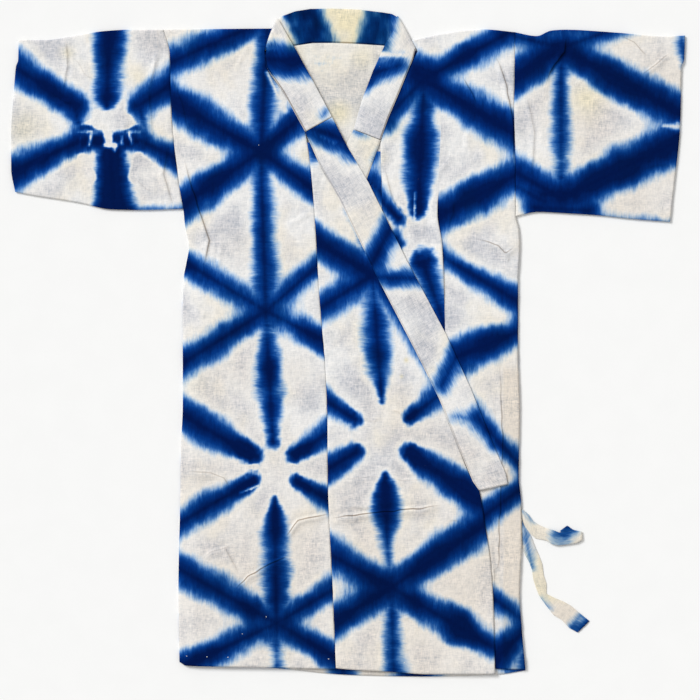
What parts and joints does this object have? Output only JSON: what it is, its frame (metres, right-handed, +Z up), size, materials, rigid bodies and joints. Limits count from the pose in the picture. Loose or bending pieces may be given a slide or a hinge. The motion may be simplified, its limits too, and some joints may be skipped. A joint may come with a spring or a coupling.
{
  "type": "kimono coat",
  "caption": "Small unlined cotton kimono coat laid flat, right front over left, square sleeves, folded collar with over-collar, side ties.",
  "frame": {"origin": "centre of the bounding box in X and Y, on the surface the garment lies on", "axes": "+X to the wearer's left, +Y from hem to neck, +Z up from the surface, out of the front"},
  "size_m": [0.6396, 0.6342, 0.0051],
  "materials": {
    "cotton": "matte plain-weave cotton, folded and clamped in triangles and dyed with indigo",
    "collar_cotton": "matte plain-weave cotton band, the same dyed cloth folded lengthwise",
    "tie_cotton": "matte plain-weave cotton, the same dyed cloth sewn as a narrow flat tube"
  },
  "bodies": {
    "root": {"body": "cotton", "sleeve_right": "cotton", "sleeve_left": "cotton", "okumi_right": "cotton", "okumi_left": "cotton", "collar_right": "collar_cotton", "collar_left": "collar_cotton", "over_collar": "collar_cotton", "tie_upper": "tie_cotton", "tie_lower": "tie_cotton"}
  },
  "joints": []
}
